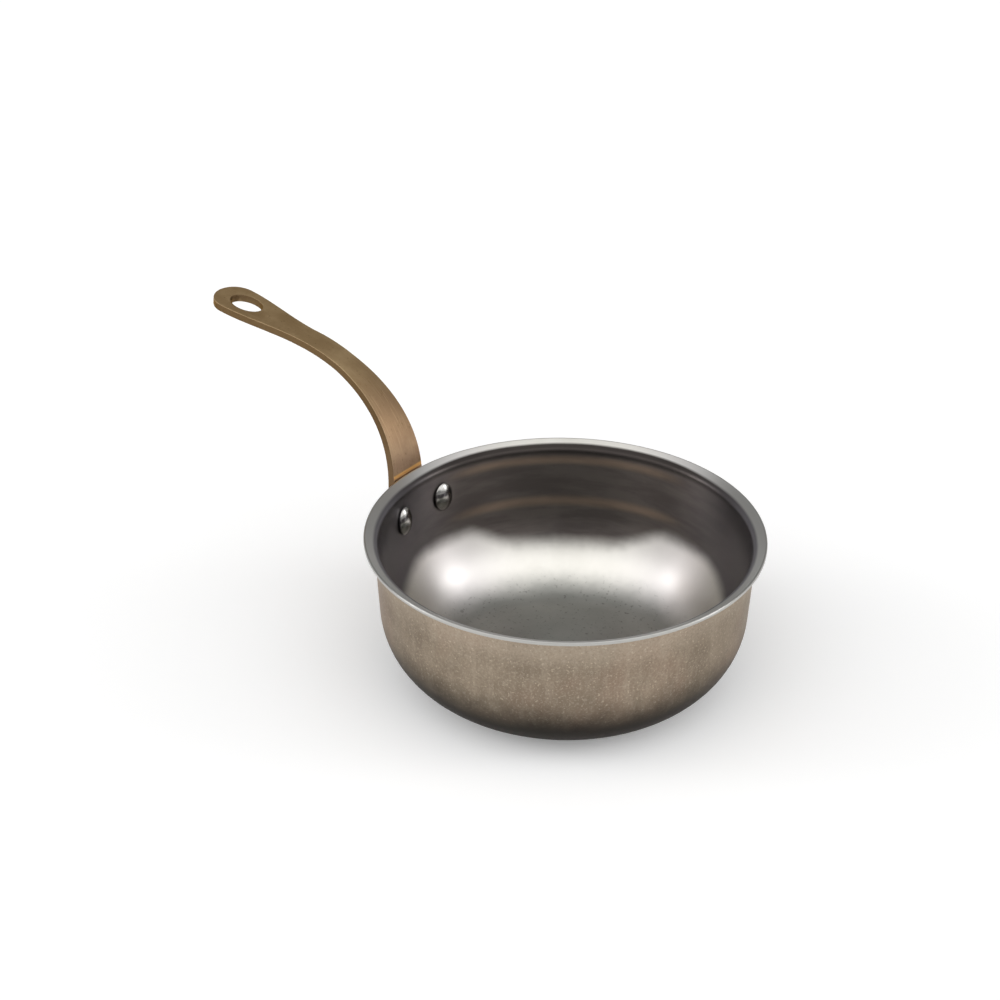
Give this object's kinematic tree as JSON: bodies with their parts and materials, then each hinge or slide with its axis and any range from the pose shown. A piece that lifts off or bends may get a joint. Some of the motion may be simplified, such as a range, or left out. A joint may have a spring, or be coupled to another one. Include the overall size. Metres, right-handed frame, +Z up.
{
  "type": "frying pan",
  "caption": "Small deep-sided frying pan with a flared lip, a steel-lined bronze bowl, rivets and an arched brass handle that hangs from the hole in its end.",
  "frame": {"origin": "centre of the flat underside of the bowl, on the surface that the pan stands on", "axes": "+Z up along the bowl's axis, -X along the handle towards its tip, the handle's middle plane at Y = 0"},
  "size_m": [0.264, 0.16, 0.12],
  "materials": {
    "steel_lining": "satin spun steel",
    "outer_shell": "aged bronze with fine light specks",
    "handle": "aged brass, dull, with worn bright edges",
    "rivets": "polished domes"
  },
  "bodies": {
    "root": {"steel_lining": "steel_lining", "outer_shell": "outer_shell", "handle": "handle", "rivet_left": "rivets", "rivet_right": "rivets"}
  },
  "joints": []
}
